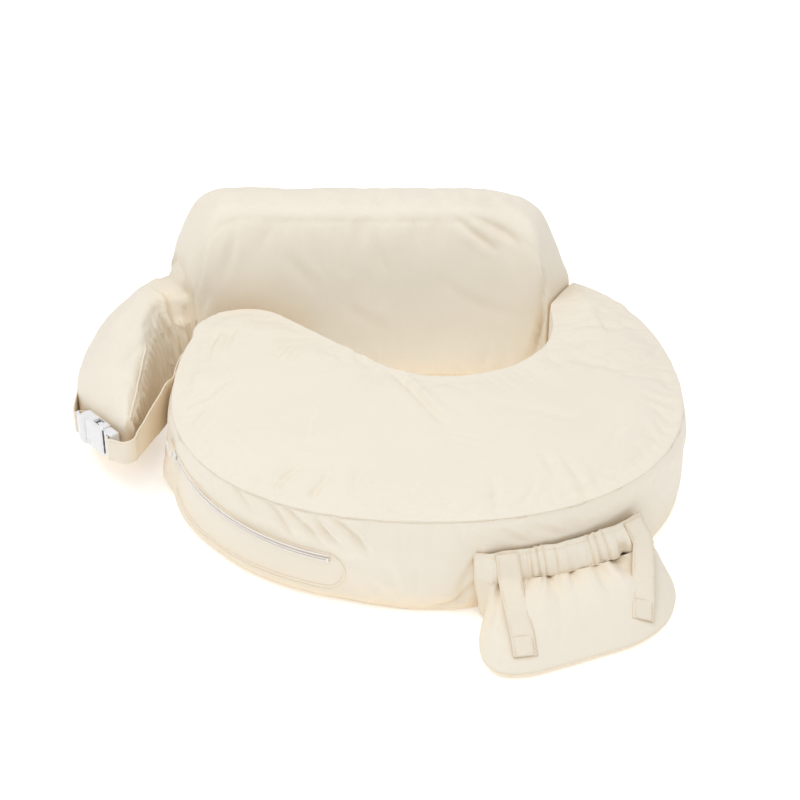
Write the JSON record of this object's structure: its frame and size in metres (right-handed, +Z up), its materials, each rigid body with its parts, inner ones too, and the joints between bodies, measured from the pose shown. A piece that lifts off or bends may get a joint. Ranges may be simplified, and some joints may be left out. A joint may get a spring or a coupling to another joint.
{
  "type": "nursing pillow",
  "caption": "Wrap-around nursing pillow: crescent foam platform, hinged back support closed round the waist by a strap and side-release buckle, zipped cover and elastic-topped pocket.",
  "frame": {"origin": "on the underside of the crescent platform, under the middle of its width and 112 mm in front of the oval's widest line", "axes": "+Z up; -Y towards the baby side (front, away from the wearer); +X to the side of the fabric hinge, so the buckle is on the -X side"},
  "size_m": [0.6064, 0.5841, 0.19],
  "materials": {
    "cover_cloth": "matt cotton twill, cream",
    "lining_cloth": "matt lining cloth, darker cream",
    "foam": "open-cell foam, pale yellow",
    "buckle_plastic": "satin white acetal",
    "webbing": "folded cream cloth strap, edge-stitched",
    "zip_tape": "woven polyester zip tape, off-white",
    "zip_metal": "off-white enamelled zinc",
    "elastic": "knitted elastic, white"
  },
  "bodies": {
    "pillow": {"platform_foam": "foam", "platform_top_panel": "cover_cloth", "platform_bottom_panel": "lining_cloth", "foam_divider_panel": "lining_cloth", "outer_side_band": "cover_cloth", "waist_side_band": "cover_cloth", "zip_placket": "cover_cloth", "zip_tape_upper": "zip_tape", "zip_tape_lower": "zip_tape", "zip_coil": "zip_tape", "zip_top_stop": "zip_metal", "zip_bottom_stop": "zip_metal", "strap_anchor_patch": "webbing", "strap_webbing": "webbing"},
    "back_support": {"back_foam": "foam", "back_inner_panel": "cover_cloth", "back_outer_panel": "cover_cloth", "back_top_strip": "cover_cloth", "back_base_panel": "lining_cloth", "wing_base_panel": "lining_cloth", "wing_foam": "foam", "wing_outer_panel": "cover_cloth", "wing_inner_panel": "cover_cloth", "wing_webbing_loop": "webbing", "buckle_socket": "buckle_plastic"},
    "strap_insert": {"buckle_insert": "buckle_plastic"},
    "latch_upper": {"latch_arm_upper": "buckle_plastic"},
    "latch_lower": {"latch_arm_lower": "buckle_plastic"},
    "strap_tail": {"strap_tail": "webbing"},
    "zip_slider": {"zip_slider": "zip_metal"},
    "zip_pull": {"zip_pull_tab": "zip_metal"},
    "pocket": {"pocket_back_panel": "lining_cloth", "pocket_base_panel": "lining_cloth", "pocket_front_panel": "cover_cloth", "pocket_side_left": "cover_cloth", "pocket_side_right": "cover_cloth", "pocket_casing": "cover_cloth", "pocket_elastic": "elastic", "pocket_tape_left": "webbing", "pocket_tape_right": "webbing"}
  },
  "joints": [
    {"name": "back_support_hinge", "type": "hinge", "parent": "pillow", "child": "back_support", "pos_m": [0.1615, 0.328, 0], "axis": [0, 0, -1], "range_deg": [0, 35]},
    {"name": "buckle_release", "type": "slide", "parent": "pillow", "child": "strap_insert", "axis": [0.655, -0.7556, 0], "range_m": [0, 0.045], "deforming": ["strap_webbing", "strap_tail", "latch_arm_upper", "latch_arm_lower"]},
    {"name": "latch_arm_upper_flex", "type": "hinge", "parent": "strap_insert", "child": "latch_upper", "pos_m": [-0.31583, 0.07533, 0.0619], "axis": [-0.7556, -0.655, 0], "range_deg": [0, 8]},
    {"name": "latch_arm_lower_flex", "type": "hinge", "parent": "strap_insert", "child": "latch_lower", "pos_m": [-0.31583, 0.07533, 0.0471], "axis": [0.7556, 0.655, 0], "range_deg": [0, 8]},
    {"name": "strap_length_adjust", "type": "slide", "parent": "strap_insert", "child": "strap_tail", "axis": [0.4034, 0.915, 0], "range_m": [0, 0.02]},
    {"name": "zip_slider_run", "type": "hinge", "parent": "pillow", "child": "zip_slider", "pos_m": [-0.0417, 0.0901, 0.05843], "axis": [0.0581, -0.0546, 0.9968], "range_deg": [0, 57]},
    {"name": "zip_pull_swing", "type": "hinge", "parent": "zip_slider", "child": "zip_pull", "pos_m": [-0.24843, 0.03176, 0.06729], "axis": [0, 0, 1], "range_deg": [0, 110]},
    {"name": "pocket_lift", "type": "hinge", "parent": "pillow", "child": "pocket", "pos_m": [0.0606, -0.13706, 0.067], "axis": [-0.8821, -0.4711, 0], "range_deg": [0, 45]}
  ],
  "couplings": [
    {"joint": "latch_arm_lower_flex", "follows": "latch_arm_upper_flex", "ratio": 1}
  ]
}
